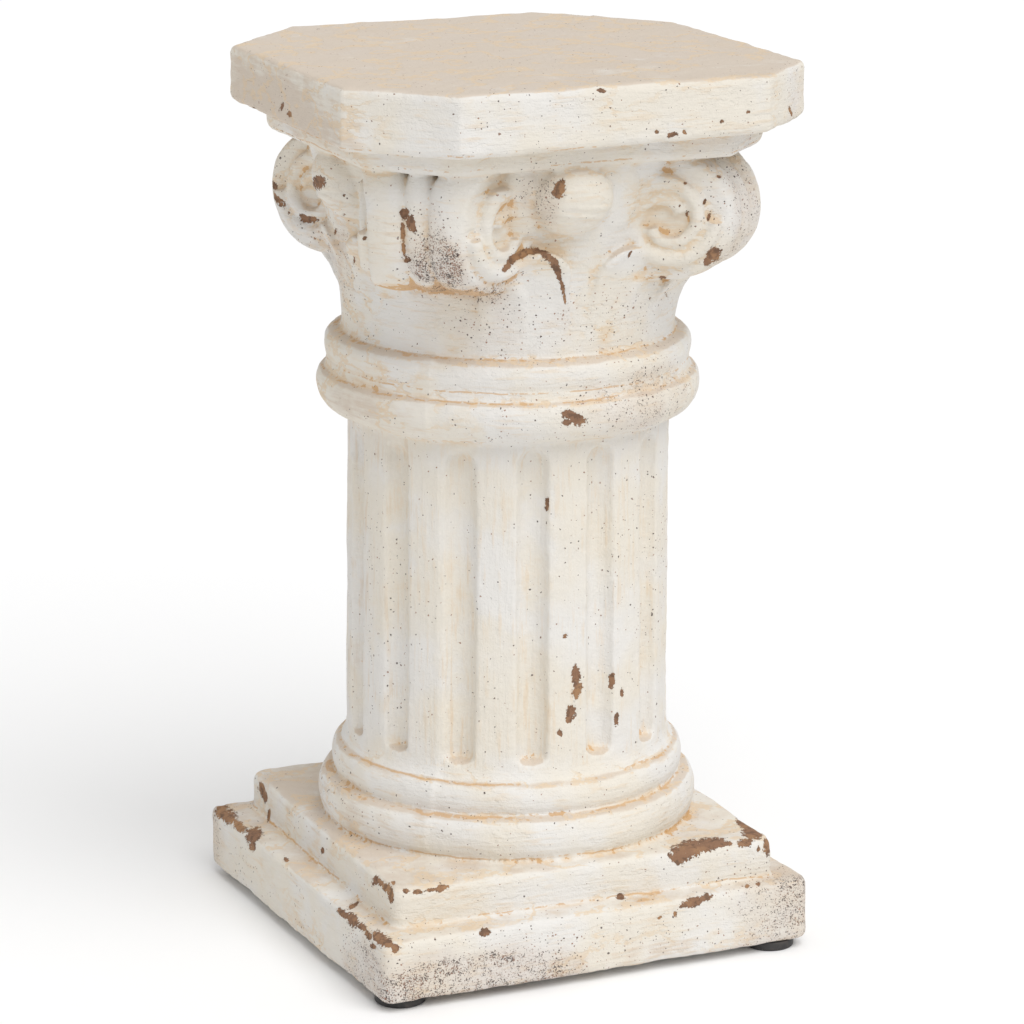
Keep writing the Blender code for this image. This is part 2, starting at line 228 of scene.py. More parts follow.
shaft_profile = []
for share in (0.0, 0.15, 0.3, 0.5, 0.75, 1.0):
    height = SHAFT_BOTTOM + SHAFT_FLARE_HEIGHT * share
    shaft_profile.append((shaft_radius(height) + SHAFT_FLARE * (1.0 - share) ** 2, height))
shaft = turned("shaft", [(SHAFT_FOOT_RADIUS + SHAFT_FLARE, SHAFT_BOTTOM - SINK)] + shaft_profile
               + [(SHAFT_HEAD_RADIUS, SHAFT_TOP + SINK)])
flutes = []
for index in range(FLUTE_COUNT):
    half = FLUTE_WIDTH / 2 * hand.uniform(*FLUTE_WIDTHS)
    depth = FLUTE_DEPTH * hand.uniform(*FLUTE_DEPTHS)
    radius = (half ** 2 + depth ** 2) / (2 * depth)
    top = FLUTE_TOP - half + hand.uniform(-FLUTE_END_SLACK, FLUTE_END_SLACK)
    bottom = (FLUTE_BOTTOM + half * FLUTE_END_SQUARENESS
              + hand.uniform(-FLUTE_END_SLACK, FLUTE_END_SLACK))
    rod = add(bpy.ops.mesh.primitive_uv_sphere_add, "flute", segments=32, ring_count=24,
              radius=radius, location=(0.0, 0.0, top))
    select(rod, "VERT", lambda vert: vert.co.z < top - LEVEL_WITH)
    bpy.ops.transform.resize(value=(1.0, 1.0, FLUTE_END_SQUARENESS))
    bpy.ops.transform.translate(value=(0.0, 0.0, bottom - top))
    bpy.ops.object.mode_set(mode="OBJECT")
    turn = (FLUTE_TURN + (index + 0.5) * math.tau / FLUTE_COUNT
            + hand.uniform(-FLUTE_TURN_SLACK, FLUTE_TURN_SLACK))
    out = shaft_radius(SHAFT_BOTTOM) + radius - depth
    rod.data.transform(Matrix.Rotation(turn, 4, "Z") @ Matrix.Translation((0.0, -out, 0.0)))
    flutes.append(rod)


def join(pieces, name):
    """Makes one object of several, each loose part kept as it is."""
    bpy.ops.object.select_all(action="DESELECT")
    for piece in pieces:
        piece.select_set(True)
    bpy.context.view_layer.objects.active = pieces[0]
    bpy.ops.object.join()
    pieces[0].name = name
    return pieces[0]


def only(piece):
    """Makes a piece the one that the next tools work on."""
    bpy.ops.object.select_all(action="DESELECT")
    piece.select_set(True)
    bpy.context.view_layer.objects.active = piece


def apply(piece, kind, **settings):
    """Gives a piece a modifier and applies it."""
    only(piece)
    modifier = piece.modifiers.new(kind.title(), kind)
    for name, value in settings.items():
        setattr(modifier, name, value)
    bpy.ops.object.modifier_apply(modifier=modifier.name)


scoops = join(flutes, "scoops")
apply(shaft, "BOOLEAN", operation="DIFFERENCE", solver="EXACT", object=scoops)
bpy.data.objects.remove(scoops)
forms.append(shaft)


# Rings under the capital
# A heavy round ring, a narrow step and a lighter ring, where the shaft passes into the
# capital.
LOWER_RING = {"foot": 0.0905, "radius": 0.1034, "neck": 0.1005,
              "bottom": 0.2880, "crown": 0.3030, "top": 0.3102}
UPPER_RING = {"foot": 0.0965, "radius": 0.0986, "neck": 0.0915,
              "bottom": 0.3170, "crown": 0.3250, "top": 0.3318}
STEP_RADIUS = 0.0978
STEP_FOOT = 0.0010
STEP_HEAD = 0.0016

forms.append(turned("rings", [(SHAFT_HEAD_RADIUS, SHAFT_TOP - SINK)] + bulge(**LOWER_RING)
                    + [(STEP_RADIUS, LOWER_RING["top"] + STEP_FOOT),
                       (STEP_RADIUS, UPPER_RING["bottom"] - STEP_HEAD)] + bulge(**UPPER_RING)))


# Bell of the capital
# A plain drum, on which the leaves, buds and scrolls are modelled. It flares more and more
# towards its top.
BELL_BOTTOM = 0.3318
BELL_TOP = 0.4352
BELL_FOOT_RADIUS = 0.0893
BELL_HEAD_RADIUS = 0.1080
BELL_CURVE = 0.72
BELL_STEPS = 12


def bell_radius(height):
    """The bell's radius, which stays as it is above its top and below its foot."""
    up = min(max((height - BELL_BOTTOM) / (BELL_TOP - BELL_BOTTOM), 0.0), 1.0)
    return (BELL_FOOT_RADIUS
            + (BELL_HEAD_RADIUS - BELL_FOOT_RADIUS) * (up + BELL_CURVE * (up ** 2 - up)))


bell_heights = [BELL_BOTTOM + (BELL_TOP - BELL_BOTTOM) * step / BELL_STEPS
                for step in range(BELL_STEPS + 1)]
forms.append(turned("bell", [(BELL_FOOT_RADIUS, BELL_BOTTOM - SINK)]
                    + [(bell_radius(height), height) for height in bell_heights]
                    + [(BELL_HEAD_RADIUS, BELL_TOP + SINK)]))


# Leaves
# Broad lobes stand up out of the upper ring, each a tongue with a raised rim round a shallow
# hollow, four to a side and one under each corner but the near one. A row gives a lobe's angle
# in degrees, width, height, relief, rim, hollow, lean and curl.
LEAF_LOBES = (
    (-14.5, 0.0325, 0.0600, 0.0042, 0.0060, 0.0018, 0.00, 0.0040),
    (12.5, 0.0325, 0.0580, 0.0024, 0.0060, 0.0008, 0.08, 0.0050),
    (-25.5, 0.0250, 0.0440, 0.0032, 0.0050, 0.0012, -0.02, 0.0030),
    (25.5, 0.0250, 0.0440, 0.0026, 0.0050, 0.0010, 0.02, 0.0030),
)
CORNER_LOBE = (45.0, 0.0470, 0.0440, 0.0030, 0.0070, 0.0010, 0.00, 0.0180)
LEAVES_DRAWN_IN = (1.0, 0.975, 1.0, 0.99)
LOBE_GRID = 0.0010
LOBE_LIP = 0.0008
ROOT_RELIEF = 0.12
FULL_RELIEF_AT = 0.85
DEGREE = math.radians(1)


def remesh(piece, size):
    """Makes one even skin over all of a piece."""
    apply(piece, "REMESH", mode="VOXEL", voxel_size=size)


def lay_on_bell(piece, angle, lean=0.0, curl=0.0, height=1.0, fades=False):
    """Bends a flat form round the bell. Its own Y is depth, and its Z starts at the bell's foot."""
    for vertex in piece.data.vertices:
        across, depth, up = vertex.co
        near = bell_radius(BELL_BOTTOM + up)
        share = max(up / height, 0.0)
        if fades and depth < 0.0:
            depth *= ROOT_RELIEF + (1.0 - ROOT_RELIEF) * min(share / FULL_RELIEF_AT, 1.0) ** 2
        out = near - depth + curl * share ** 4
        turn = angle + (across + lean * up) / near
        vertex.co = (out * math.sin(turn), -out * math.cos(turn), BELL_BOTTOM + up)


def leaf_lobe(degrees, width, height, relief, rim, hollow, lean, curl):
    """A tongue with a round tip, set back inside its rim."""
    middle = height - width / 2
    lobe = add(bpy.ops.mesh.primitive_cylinder_add, "lobe", vertices=48, radius=width / 2,
               depth=relief + 2 * SINK, location=(0.0, -relief / 2 + SINK, middle),
               rotation=(math.pi / 2, 0.0, 0.0))
    select(lobe, "VERT", lambda vert: vert.co.z < middle - LEVEL_WITH)
    bpy.ops.transform.translate(value=(0.0, 0.0, -middle))
    bpy.ops.object.mode_set(mode="OBJECT")
    select(lobe, "FACE", lambda face: face.normal.y < -0.9)
    bpy.ops.mesh.inset(thickness=rim * 0.35)
    bpy.ops.transform.translate(value=(0.0, -LOBE_LIP, 0.0))
    bpy.ops.mesh.inset(thickness=rim * 0.45)
    bpy.ops.mesh.inset(thickness=rim * 0.5)
    bpy.ops.transform.translate(value=(0.0, hollow, 0.0))
    bpy.ops.object.mode_set(mode="OBJECT")
    remesh(lobe, LOBE_GRID)
    lay_on_bell(lobe, degrees * DEGREE, lean, curl, height, True)
    return lobe


def duplicate(piece):
    """A copy with a mesh of its own."""
    copy = piece.copy()
    copy.data = piece.data.copy()
    bpy.context.collection.objects.link(copy)
    return copy


def copies_round(piece, count, first=0.0):
    """Copies of a form, each a quarter turn on, and the form itself removed."""
    copies = []
    for index in range(count):
        copies.append(duplicate(piece))
        copies[-1].data.transform(Matrix.Rotation(first + index * math.tau / 4, 4, "Z"))
    bpy.data.objects.remove(piece)
    return copies


def faces_round(piece, drawn_in):
    """The form on all four faces: on the front and back as made, on the sides as in a mirror."""
    mirror = Matrix(((0, 1, 0, 0), (1, 0, 0, 0), (0, 0, 1, 0), (0, 0, 0, 1)))
    half_turn = Matrix.Rotation(math.pi, 4, "Z")
    placed = []
    for move, share in zip((Matrix(), mirror, half_turn, half_turn @ mirror), drawn_in):
        copy = duplicate(piece)
        copy.data.transform(move @ Matrix.Diagonal((share, share, 1.0, 1.0)))
        if move.determinant() < 0:
            copy.data.flip_normals()
        placed.append(copy)
    bpy.data.objects.remove(piece)
    return placed


lobes = [leaf_lobe(*row) for row in LEAF_LOBES]
forms += faces_round(join(lobes, "leaves"), LEAVES_DRAWN_IN)
forms += copies_round(leaf_lobe(*CORNER_LOBE), 3)


# Buds and petals
# Near the middle of each side a round bud sits under the slab between two petals. Its lower half
# is wrinkled, and the paint has worn off where it stands out most.
BUD_ANGLE = -5.6 * DEGREE
BUD_HEIGHT_ON_BELL = 0.0858
BUD_SIZE = (0.0215, 0.0165, 0.0190)
WRINKLE_DEPTH = 0.0011
WRINKLE_SPACING = 0.0052
WRINKLE_LEAN = 0.12
WRINKLE_LEVEL = 0.4
WRINKLED_FROM = 0.4
WRINKLED_FADE = 2.5
PETAL_ANGLE = 15.5 * DEGREE
PETAL_DROP = 0.001
NEAR_PETAL_SIZE = (0.0120, 0.0052, 0.0200)
FAR_PETAL_SIZE = (0.0120, 0.0030, 0.0180)
BUDS_DRAWN_IN = (1.0, 0.955, 1.0, 1.0)
PETALS_DRAWN_IN = (1.0, 0.94, 1.0, 1.0)

bud = add(bpy.ops.mesh.primitive_uv_sphere_add, "bud", segments=64, ring_count=48, radius=1.0,
          scale=BUD_SIZE)
for vertex in bud.data.vertices:
    x, y, z = vertex.co
    lower = min(max(-z / BUD_SIZE[2] * WRINKLED_FADE + WRINKLED_FROM, 0.0), 1.0)
    wave = math.sin((z + WRINKLE_LEAN * x) / WRINKLE_SPACING * math.tau)
    vertex.co.y += WRINKLE_DEPTH * lower * (wave - WRINKLE_LEVEL)
    vertex.co.z += BUD_HEIGHT_ON_BELL
lay_on_bell(bud, BUD_ANGLE)
petals = []
for side, size in ((-1, NEAR_PETAL_SIZE), (1, FAR_PETAL_SIZE)):
    petal = add(bpy.ops.mesh.primitive_uv_sphere_add, "petal", segments=48, ring_count=32,
                radius=1.0, scale=size, location=(0.0, 0.0, BUD_HEIGHT_ON_BELL - PETAL_DROP))
    lay_on_bell(petal, BUD_ANGLE + side * PETAL_ANGLE)
    petals.append(petal)
forms += faces_round(bud, BUDS_DRAWN_IN) + faces_round(join(petals, "petals"), PETALS_DRAWN_IN)


# Corner scrolls
# A rolled band under each corner of the slab. Its outer face has two broad ribs with a narrow
# one between them, and on both side faces two ridges wind in to the eye. A web fills the gap
# up to the moulding, and the near scroll is filled out in front as well. The rib sizes are
# shares of the band's half width and of the channel's depth.
SCROLL_RADIUS = 0.0335
SCROLL_REACH = 0.1350
SCROLL_BAND = 0.0500
SCROLL_TAPER = math.tan(math.radians(17))
SCROLL_HEIGHT = 0.4025
SCROLL_STEPS = 96
BAND_STEPS = 24
CHANNEL_DEPTH = 0.0056
CHANNEL_BELOW_RIBS = 0.60
RIB_ROUNDING = 0.25
NARROW_RIB = 0.16
BROAD_RIB = 0.62
BROAD_RIB_HALF = 0.30
BROAD_RIB_POWER = 2.4
RIDGE_RADIUS = 0.0044
RIDGE_RELIEF = 0.0066
RIDGE_PITCH = 0.0182
RIDGE_START = 0.0248
RIDGE_STEPS = 60
RIDGE_THINNING = 0.25
EYE_RADIUS = 0.0080
SCROLL_DRAWN_IN = (0.0010, 0.0055, 0.0005, 0.0)
WEB_SIZE = (0.036, 0.056, 0.050)
NEAR_SCROLL = 2
NEAR_SCROLL_FILL = 0.75


def scroll_half_width(along):
    """Half the scroll's width, at a distance from the axis of the column."""
    return SCROLL_BAND / 2 + SCROLL_TAPER * (SCROLL_REACH - along)


def rib(share):
    """How deep the band lies below its ribs, at a share of its half width."""
    share = abs(share)
    if share < NARROW_RIB:
        return RIB_ROUNDING * (share / NARROW_RIB) ** 2
    if share < 2 * NARROW_RIB:
        across = (share - NARROW_RIB) / NARROW_RIB
        return RIB_ROUNDING + CHANNEL_BELOW_RIBS * math.sin(across * math.pi) ** 2
    return RIB_ROUNDING * abs((share - BROAD_RIB) / BROAD_RIB_HALF) ** BROAD_RIB_POWER


shares = [-1.0 + step / BAND_STEPS for step in range(2 * BAND_STEPS + 1)]
drum = turned("scroll", [(SCROLL_RADIUS - CHANNEL_DEPTH * rib(share), share) for share in shares],
              SCROLL_STEPS)
scroll_centre = SCROLL_REACH - SCROLL_RADIUS
for vertex in drum.data.vertices:
    along = scroll_centre + vertex.co.x
    vertex.co = (along, vertex.co.z * scroll_half_width(along), SCROLL_HEIGHT - vertex.co.y)
ridges = []
for side in (-1, 1):
    for start in (0.0, math.pi):
        bpy.ops.object.select_all(action="DESELECT")
        bpy.ops.curve.primitive_bezier_curve_add()
        line = bpy.context.object.data
        line.splines.clear()
        line.bevel_depth = RIDGE_RADIUS
        line.bevel_resolution = 4
        line.use_fill_caps = True
        spline = line.splines.new("POLY")
        sweep = (RIDGE_START - EYE_RADIUS) / RIDGE_PITCH * math.tau
        spline.points.add(RIDGE_STEPS)
        for index, point in enumerate(spline.points):
            share = index / RIDGE_STEPS
            turn = start + share * sweep
            reach = RIDGE_START + (EYE_RADIUS - RIDGE_START) * share
            along = scroll_centre + reach * math.cos(turn)
            out = scroll_half_width(along) - RIDGE_RADIUS + RIDGE_RELIEF
            point.co = (along, side * out, SCROLL_HEIGHT - reach * math.sin(turn), 1.0)
            point.radius = 1.0 - RIDGE_THINNING * share
        bpy.ops.object.convert(target="MESH")
        ridges.append(bpy.context.object)
web = add(bpy.ops.mesh.primitive_cube_add, "web", size=1.0, scale=WEB_SIZE,
          location=(scroll_centre - WEB_SIZE[0] / 2, 0.0, BELL_TOP + SINK - WEB_SIZE[2] / 2))
scrolls = copies_round(join([drum, web, *ridges], "scroll"), 4, math.radians(45))
for scroll, draw_in in zip(scrolls, SCROLL_DRAWN_IN):
    vertices = scroll.data.vertices
    middle = sum((vertex.co for vertex in vertices), Vector()) / len(vertices)
    outwards = Vector((middle.x, middle.y, 0.0)).normalized()
    scroll.data.transform(Matrix.Translation(outwards * -draw_in))
for vertex in scrolls[NEAR_SCROLL].data.vertices:
    above = min(max((vertex.co.z - SCROLL_HEIGHT) / SCROLL_RADIUS, 0.0), 1.0)
    forward = -(vertex.co.x + vertex.co.y) / math.sqrt(2) - scroll_centre
    if forward > 0.0:
        push = SCROLL_RADIUS * (1.0 - math.sqrt(1.0 - above ** 2)) * NEAR_SCROLL_FILL
        vertex.co += Vector((-1.0, -1.0, 0.0)).normalized() * push
forms += scrolls


# Slab and its moulding
# The top is a square slab with cut corners over a narrower moulding. Its corners are cut by
# eye, the far one widest, its arrises are soft and uneven, and its near corner sags.
SLAB = {"width": 0.2600, "bottom": 0.4499, "height": 0.0304}
SLAB_CUTS = (0.0455, 0.0410, 0.0550, 0.0600)
SLAB_FOOT_RIM = 0.0030
SLAB_TOP_RIM = 0.0034
NEAR_CORNER_SAG = 0.0030
SAG_REACH = 0.006
SAG_FROM = -0.18
MOULDING_INSET = 0.0135
MOULDING_BOTTOM = 0.4352
MOULDING_HEIGHT = 0.0147
MOULDING_RIM = 0.0055
MOULDING_CUTS = (0.0380, 0.0330, 0.0560, 0.0380)
MOULDING_NARROWER = 0.0060

forms.append(square_course("moulding", SLAB["width"] - 2 * MOULDING_INSET - MOULDING_NARROWER,
                           MOULDING_BOTTOM, MOULDING_HEIGHT + SINK, MOULDING_CUTS, 1,
                           ((MOULDING_BOTTOM, MOULDING_RIM),), (-MOULDING_NARROWER / 2, 0.0)))
slab_top = SLAB["bottom"] + SLAB["height"]
slab = square_course("slab", cuts=SLAB_CUTS, steps=1,
                     rims=((SLAB["bottom"], SLAB_FOOT_RIM), (slab_top, SLAB_TOP_RIM)), **SLAB)
for vertex in slab.data.vertices:
    if vertex.co.z < SLAB["bottom"] + SAG_REACH and vertex.co.x + vertex.co.y < SAG_FROM:
        vertex.co.z -= NEAR_CORNER_SAG
forms.append(slab)


# The casting
# All of these forms leave the mould as one piece. Its skin is eased, its flat faces are a
# little hollow and lumpy, its arrises are rubbed, and a mould seam runs down two corners.
SKIN_GRID = 0.00125
SWELL_SIZE = 0.050
SWELL_HEIGHT = 0.0016
LUMP_SIZE = 0.014
LUMP_HEIGHT = 0.0008
LUMP_LEVEL = 0.55
FINE_HOLLOW = 0.0005
BROAD_HOLLOW = 0.0035
FINE_EDGE = 0.0006
BROAD_EDGE = 0.0030
SEAM_TURN = math.radians(-48)
SEAM_WIDTH = 0.0035
SEAM_FILLING = 0.8
SEAM_STEP = 0.0007
SEAM_STEP_WIDTH = 0.0006
SEAM_FADE = 0.0350
SEAM_FIN = 0.00025
SEAM_FIN_WIDTH = 0.0018
SEAM_ENDS = (0.066, 0.434)
RUB_DEPTH = 0.0011
RUB_SIZE = 0.0070
RUB_SHARE = 0.35
RUB_CONTRAST = 1.3
CREASE_FILLING = 0.75
FILLED_FROM = 0.0007

body = join(forms, "casting")
remesh(body, SKIN_GRID)
apply(body, "SMOOTH", factor=0.5, iterations=3)


def roughen(name, size, detail, height):
    """Pushes the skin in and out by soft lumps of about a size."""
    texture = bpy.data.textures.new(name, "CLOUDS")
    texture.noise_scale = size
    texture.noise_depth = detail
    apply(body, "DISPLACE", texture=texture, strength=height, mid_level=LUMP_LEVEL)


roughen("swell", SWELL_SIZE, 1, SWELL_HEIGHT)
roughen("lumps", LUMP_SIZE, 2, LUMP_HEIGHT)

mesh = body.data
count = len(mesh.vertices)
points = np.empty(count * 3)
mesh.vertices.foreach_get("co", points)
points = points.reshape(count, 3)
normals = np.empty(count * 3)
mesh.vertex_normals.foreach_get("vector", normals)
normals = normals.reshape(count, 3)
links = np.empty(len(mesh.edges) * 2, dtype=np.int32)
mesh.edges.foreach_get("vertices", links)
links = links.reshape(-1, 2)
first_ends, other_ends = links[:, 0], links[:, 1]
neighbours = np.bincount(links.ravel(), minlength=count)


def eased(values, rounds):
    """Vertex values averaged with their neighbours', some rounds over."""
    for _ in range(rounds):
        total = (np.bincount(first_ends, values[other_ends], count)
                 + np.bincount(other_ends, values[first_ends], count))
        values = (values + total / neighbours) / 2
    return values


def sinking(rounds):
    """How far each vertex lies below the skin around it, and above it where negative."""
    around = np.stack([eased(points[:, axis], rounds) for axis in range(3)], axis=1)
    return ((around - points) * normals).sum(axis=1)


def lumpy(size):
    """Smooth noise at every vertex, from -1 to 1, with lumps of about a size."""
    return np.fromiter((noise.noise(Vector(point) / size) for point in points), float, count)


fine = eased(sinking(8), 4)
broad = sinking(40)
hollow = (np.clip(fine / FINE_HOLLOW, 0.0, 1.3) * 0.7
          + np.clip(broad / BROAD_HOLLOW, 0.0, 1.0) * 0.2)
edge = np.clip(-fine / FINE_EDGE, 0.0, 1.0) * 0.6 + np.clip(-broad / BROAD_EDGE, 0.0, 1.0) * 0.4

across = points[:, 0] * math.cos(SEAM_TURN) + points[:, 1] * math.sin(SEAM_TURN)
on_column = (points[:, 2] > SEAM_ENDS[0]) & (points[:, 2] < SEAM_ENDS[1])
beside_seam = np.exp(-(across / SEAM_WIDTH) ** 2) * on_column
low_side = 1.0 / (1.0 + np.exp(np.clip(across / SEAM_STEP_WIDTH, -40.0, 40.0)))
swelling = (beside_seam * np.clip(fine, 0.0, None) * SEAM_FILLING
            + SEAM_FIN * np.exp(-(across / SEAM_FIN_WIDTH) ** 2) * on_column
            + SEAM_STEP * low_side * np.exp(-np.abs(across) / SEAM_FADE) * on_column
            - RUB_DEPTH * edge * np.clip(RUB_SHARE + lumpy(RUB_SIZE) * RUB_CONTRAST, 0.0, 1.0))
points += normals * swelling[:, None]
rounded = np.stack([eased(points[:, axis], 8) for axis in range(3)], axis=1)
filled = np.clip(fine / FILLED_FROM, 0.0, 1.0)
points += (rounded - points) * filled[:, None] * CREASE_FILLING


# Chips
# The paint has chipped off arrises down to the clay, and in small flecks elsewhere. A near
# chip's row gives its place, half width and half height in millimetres and its lean in degrees,
# as it looks from the front left. REACH and HIGHEST keep the skin inside the solids' box.
NEAR_CHIPS = (
    (-125, 116, 37, 3.4, 4.0, 0), (-125, 104, 37, 5.1, 3.4, -30), (-125, 87, 37, 5.1, 2.2, -35),
    (-124, 68, 38, 4.5, 3.9, 0), (-126, 64, 33, 2.2, 2.8, 0), (-110, 93, 55, 2.3, 3.4, 10),
    (-110, 87, 52, 1.4, 2.8, 0), (-111, 79, 44, 0.9, 3.4, -10), (-123, 19, 39, 1.4, 0.9, -10),
    (-110, -2, 49, 0.9, 1.6, 0), (-117, -64, 39, 2.4, 1.0, 25), (-125, -69, 37, 3.7, 1.6, -35),
    (-125, -81, 38, 4.2, 2.6, -35), (-124, -94, 38, 2.6, 1.6, -30),
    (-125, -105, 37, 2.1, 1.6, -30), (-123, -117, 39, 4.7, 2.9, -20),
    (-121, -123, 38, 3.1, 2.1, -20), (-126, -114, 34, 1.6, 1.3, 0), (-118, -125, 36, 2.3, 2.3, 0),
    (-110, -79, 57, 1.8, 2.4, -30), (-110, -85, 58, 2.1, 1.6, -20), (-110, -95, 58, 2.6, 2.1, -25),
    (-111, -102, 56, 1.6, 3.7, 0), (-107, -96, 61, 1.0, 0.9, 0), (-105, -109, 60, 1.6, 1.0, -20),
    (-99, -110, 59, 2.3, 1.3, 0), (-91, -110, 59, 3.7, 0.9, 5), (-85, -110, 59, 3.1, 1.7, 5),
    (53, -110, 59, 4.8, 4.6, 0), (61, -108, 61, 7.5, 4.3, 15), (70, -107, 61, 7.0, 3.2, 15),
    (78, -106, 61, 4.8, 2.2, 0), (83, -109, 61, 2.2, 1.0, -10), (106, -82, 61, 4.9, 2.7, -30),
    (102, -99, 62, 4.9, 4.3, 0), (92, -109, 60, 4.3, 1.9, 10), (106, -110, 57, 2.2, 4.3, 0),
    (54, -126, 37, 5.9, 2.4, 12), (62, -124, 38, 3.7, 1.5, 15), (17, -113, 41, 2.1, 1.3, 0),
    (43, -126, 32, 1.0, 1.7, 0), (34, -126, 31, 1.3, 0.9, 20), (100, -111, 56, 0.9, 1.4, 0),
    (95, -121, 40, 1.1, 0.9, 0), (88, -122, 40, 1.2, 0.9, 10), (-67, -125, 37, 2.6, 1.8, 0),
    (1, -88, 159, 2.1, 4.8, 0), (2, -88, 151, 2.1, 4.8, -10), (-1, -87, 139, 2.4, 3.2, 10),
    (-3, -88, 135, 1.6, 2.1, 0), (-8, -88, 128, 1.3, 1.9, 20), (24, -84, 152, 1.7, 4.0, -5),
    (27, -84, 130, 1.2, 3.2, 0), (31, -82, 144, 0.9, 2.1, 0), (-15, -85, 254, 0.9, 3.4, 0),
    (-5, -87, 181, 1.2, 1.2, 0), (-10, -102, 305, 4.1, 2.1, -10), (-6, -103, 302, 4.1, 2.6, -10),
    (-12, -102, 301, 2.1, 1.6, 0), (-23, -115, 426, 2.8, 4.6, -15), (-44, -97, 384, 3.0, 1.4, 50),
    (-40, -96, 388, 3.2, 1.7, 40), (-35, -95, 390, 3.6, 1.9, 20), (-29, -97, 392, 3.8, 1.9, 0),
    (-24, -101, 390, 3.6, 1.9, -30), (-19, -101, 385, 1.9, 4.2, 35),
    (-16, -99, 379, 1.3, 4.6, 22), (-13, -98, 372, 1.0, 4.6, 18), (-11, -97, 365, 0.8, 3.2, 12),
    (-97, -89, 415, 2.0, 2.2, 20), (-95, -92, 410, 2.1, 4.4, 20), (-98, -89, 405, 1.0, 5.6, 0),
    (-98, -90, 397, 0.8, 4.1, 5), (-96, -90, 391, 1.7, 1.0, 10), (-112, -9, 418, 3.5, 3.3, 0),
    (-115, 2, 410, 1.1, 1.4, -30), (-98, 49, 388, 2.7, 1.9, -20), (-96, 44, 388, 3.7, 1.6, 0),
    (-105, -27, 414, 0.7, 0.6, 0), (-96, 10, 388, 0.6, 1.6, -20), (-112, -72, 400, 1.2, 0.7, 20),
    (-97, -19, 378, 0.5, 2.1, 0), (-95, 42, 378, 0.7, 0.6, 0), (-101, -22, 400, 0.7, 0.6, 0),
    (-103, -21, 403, 0.6, 0.6, 0), (-130, -2, 458, 0.9, 2.1, -30), (-130, -13, 456, 1.3, 1.5, 30),
    (68, -110, 385, 3.6, 3.1, 30), (65, -108, 381, 2.1, 2.1, 0), (63, -108, 413, 0.6, 1.7, -20),
    (65, -109, 405, 0.8, 2.1, -20), (54, -103, 422, 0.9, 0.7, 0), (52, -101, 410, 0.7, 0.7, 0),
    (55, -103, 406, 0.5, 1.5, 0), (72, -106, 425, 1.2, 0.8, 0), (24, -101, 387, 0.6, 1.7, -30),
    (45, -96, 372, 1.8, 0.7, 0), (45, -82, 358, 0.5, 1.0, 30), (54, -84, 360, 0.5, 1.9, 35),
    (33, -130, 453, 2.3, 1.2, 20), (40, -130, 454, 0.9, 1.4, 30), (24, -130, 455, 1.0, 0.9, 0),
    (61, -130, 458, 1.0, 0.9, 20), (76, -130, 462, 1.0, 0.9, 0), (-7, -130, 478, 2.5, 0.9, -5),
    (112, -108, 457, 0.8, 2.4, 30),
)
CHIP_SPREAD = 1.2
CHIP_REACH = 0.018
CHIP_SINK = 0.0005
FAR_CHIP_COUNT = 34
FAR_CHIP_SIZES = (0.0022, 0.0065)
FAR_FLECK_COUNT = 60
FAR_FLECK_SIZES = (0.0009, 0.0019)
FAR_LENGTHS = (1.0, 2.2)
FAR_WIDTH = 0.6
FAR_LEAN = 20
SHARPEST = 0.95
REACH = 0.1302
HIGHEST = 0.4806

hand = random.Random(31)


def mark(depth, centre, side, rise, wide, tall):
    """Adds a mark to a depth field: 1 in its middle, 0 on its edge, negative outside."""
    away = points - np.array(centre)
    out = np.cross(side, rise)
    reach = np.sqrt((away @ side / wide) ** 2 + (away @ rise / tall) ** 2
                    + (away @ out / CHIP_REACH) ** 2)
    np.maximum(depth, 1.0 - reach, out=depth)


def tilted(side, rise, lean):
    """Two directions turned together by some degrees."""
    lean = math.radians(lean)
    return (side * math.cos(lean) + rise * math.sin(lean),
            rise * math.cos(lean) - side * math.sin(lean))


chip = np.full(count, -2.0)
for x, y, z, wide, tall, lean in NEAR_CHIPS:
    mark(chip, (x / 1000, y / 1000, z / 1000), *tilted(np.array(right), np.array(upright), lean),
         wide * CHIP_SPREAD / 1000, tall * CHIP_SPREAD / 1000)
hidden = (normals @ np.array(back) < -0.1) & (points[:, 2] > 0.01)
arrises = np.flatnonzero(hidden & (edge > np.quantile(edge, SHARPEST)))
skin = np.flatnonzero(hidden)
for places, number, sizes in ((arrises, FAR_CHIP_COUNT, FAR_CHIP_SIZES),
                              (skin, FAR_FLECK_COUNT, FAR_FLECK_SIZES)):
    for _ in range(number):
        chosen = places[int(hand.random() * len(places))]
        out = normals[chosen]
        side = np.cross((0.0, 0.0, 1.0), out + np.array((1e-4, 0.0, 0.0)))
        side /= np.linalg.norm(side)
        size = hand.uniform(*sizes)
        lean = hand.uniform(-FAR_LEAN, FAR_LEAN)
        if SHAFT_BOTTOM < points[chosen, 2] < SHAFT_TOP:
            lean += 90
        mark(chip, points[chosen], *tilted(side, np.cross(out, side), lean),
             size * hand.uniform(*FAR_LENGTHS), size * FAR_WIDTH)
points -= normals * (CHIP_SINK * np.clip(chip * 4.0, 0.0, 1.0))[:, None]
points[:, :2] = np.clip(points[:, :2], -REACH, REACH)
points[:, 2] = np.clip(points[:, 2], 0.0, HIGHEST)
mesh.vertices.foreach_set("co", points.ravel())
mesh.update()


